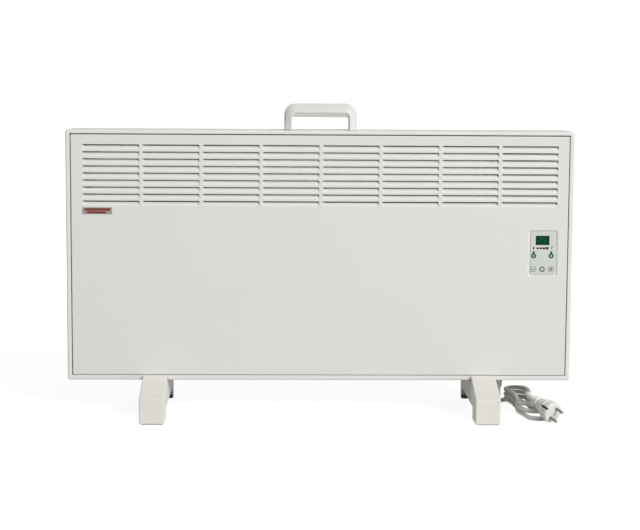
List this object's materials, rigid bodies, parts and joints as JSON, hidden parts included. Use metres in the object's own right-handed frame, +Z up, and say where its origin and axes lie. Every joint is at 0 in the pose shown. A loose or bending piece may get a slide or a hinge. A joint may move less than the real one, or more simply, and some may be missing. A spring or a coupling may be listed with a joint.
{
  "type": "panel convector heater",
  "caption": "Flat electric panel convector heater with a louvred steel front, carry handle, two floor feet, key panel and a folded mains lead with plug.",
  "frame": {"origin": "on the floor under the middle of the heater", "axes": "+X along the heater to the right seen from the front, +Y towards the back, +Z up"},
  "size_m": [0.9, 0.26, 0.557],
  "materials": {
    "white_steel": "satin powder coat, fine grain",
    "white_plastic": "moulded, fine satin grain",
    "inner_white_plastic": "moulded, plain",
    "overlay_grey": "printed satin film",
    "display_glass": "deep green tinted window",
    "key_green": "soft-touch, ring printed",
    "key_grey": "soft-touch, symbol printed",
    "board_green": "solder-mask board",
    "black_plastic": "moulded",
    "grey_plastic": "moulded",
    "label_metal": "printed foil plate",
    "zinc_steel": "zinc-plated",
    "aluminium": "mill-finish extrusion",
    "dark_steel": "heat-tinted sheath",
    "rubber": "matt black",
    "cord_white": "smooth flexible sheath",
    "plug_white": "moulded",
    "pin_nickel": "nickel-plated",
    "wire_brown": "sheath",
    "wire_blue": "sheath",
    "wire_green": "sheath with yellow stripe"
  },
  "bodies": {
    "heater": {"board_transformer": "grey_plastic", "carry_handle": "white_plastic", "case_bottom": "white_steel", "case_left_side": "white_steel", "case_right_side": "white_steel", "case_top": "white_steel", "control_board": "board_green", "control_box": "inner_white_plastic", "control_overlay": "overlay_grey", "control_partition": "zinc_steel", "cord_clamp": "grey_plastic", "cord_gland": "grey_plastic", "cutout_bracket": "zinc_steel", "display_module": "black_plastic", "display_window": "display_glass", "earth_conductor": "wire_green", "earth_nut": "zinc_steel", "earth_stud": "zinc_steel", "front_panel": "white_steel", "gland_nut": "grey_plastic", "handle_screw_left": "zinc_steel", "handle_screw_right": "zinc_steel", "heating_element": "aluminium", "heating_rod": "dark_steel", "internal_mains_lead": "cord_white", "label_plate": "label_metal", "left_element_bracket": "zinc_steel", "left_foot": "white_plastic", "left_front_foot_screw": "zinc_steel", "left_front_pad": "rubber", "left_rear_foot_screw": "zinc_steel", "left_rear_pad": "rubber", "live_conductor": "wire_brown", "neutral_conductor": "wire_blue", "plug_body": "plug_white", "plug_pin_lower": "pin_nickel", "plug_pin_upper": "pin_nickel", "power_relay": "black_plastic", "rear_heat_shield": "zinc_steel", "rear_panel": "white_steel", "right_element_bracket": "zinc_steel", "right_foot": "white_plastic", "right_front_foot_screw": "zinc_steel", "right_front_pad": "rubber", "right_rear_foot_screw": "zinc_steel", "right_rear_pad": "rubber", "room_sensor": "black_plastic", "sensor_clip": "grey_plastic", "supply_cord_hank": "cord_white", "supply_cord_lead": "cord_white", "supply_cord_tail": "cord_white", "terminal_block": "black_plastic", "thermal_cutout": "black_plastic"},
    "left_mode_key": {"left_mode_key": "key_green"},
    "right_mode_key": {"right_mode_key": "key_green"},
    "minus_key": {"minus_key": "key_grey"},
    "power_key": {"power_key": "key_grey"},
    "plus_key": {"plus_key": "key_grey"}
  },
  "joints": [
    {"name": "left_mode_key_press", "type": "slide", "parent": "heater", "child": "left_mode_key", "axis": [0, 1, 0], "range_m": [0, 0.0005], "stiffness_N_per_m": 3000},
    {"name": "right_mode_key_press", "type": "slide", "parent": "heater", "child": "right_mode_key", "axis": [0, 1, 0], "range_m": [0, 0.0005], "stiffness_N_per_m": 3000},
    {"name": "minus_key_press", "type": "slide", "parent": "heater", "child": "minus_key", "axis": [0, 1, 0], "range_m": [0, 0.0005], "stiffness_N_per_m": 3000},
    {"name": "power_key_press", "type": "slide", "parent": "heater", "child": "power_key", "axis": [0, 1, 0], "range_m": [0, 0.0005], "stiffness_N_per_m": 3000},
    {"name": "plus_key_press", "type": "slide", "parent": "heater", "child": "plus_key", "axis": [0, 1, 0], "range_m": [0, 0.0005], "stiffness_N_per_m": 3000}
  ]
}
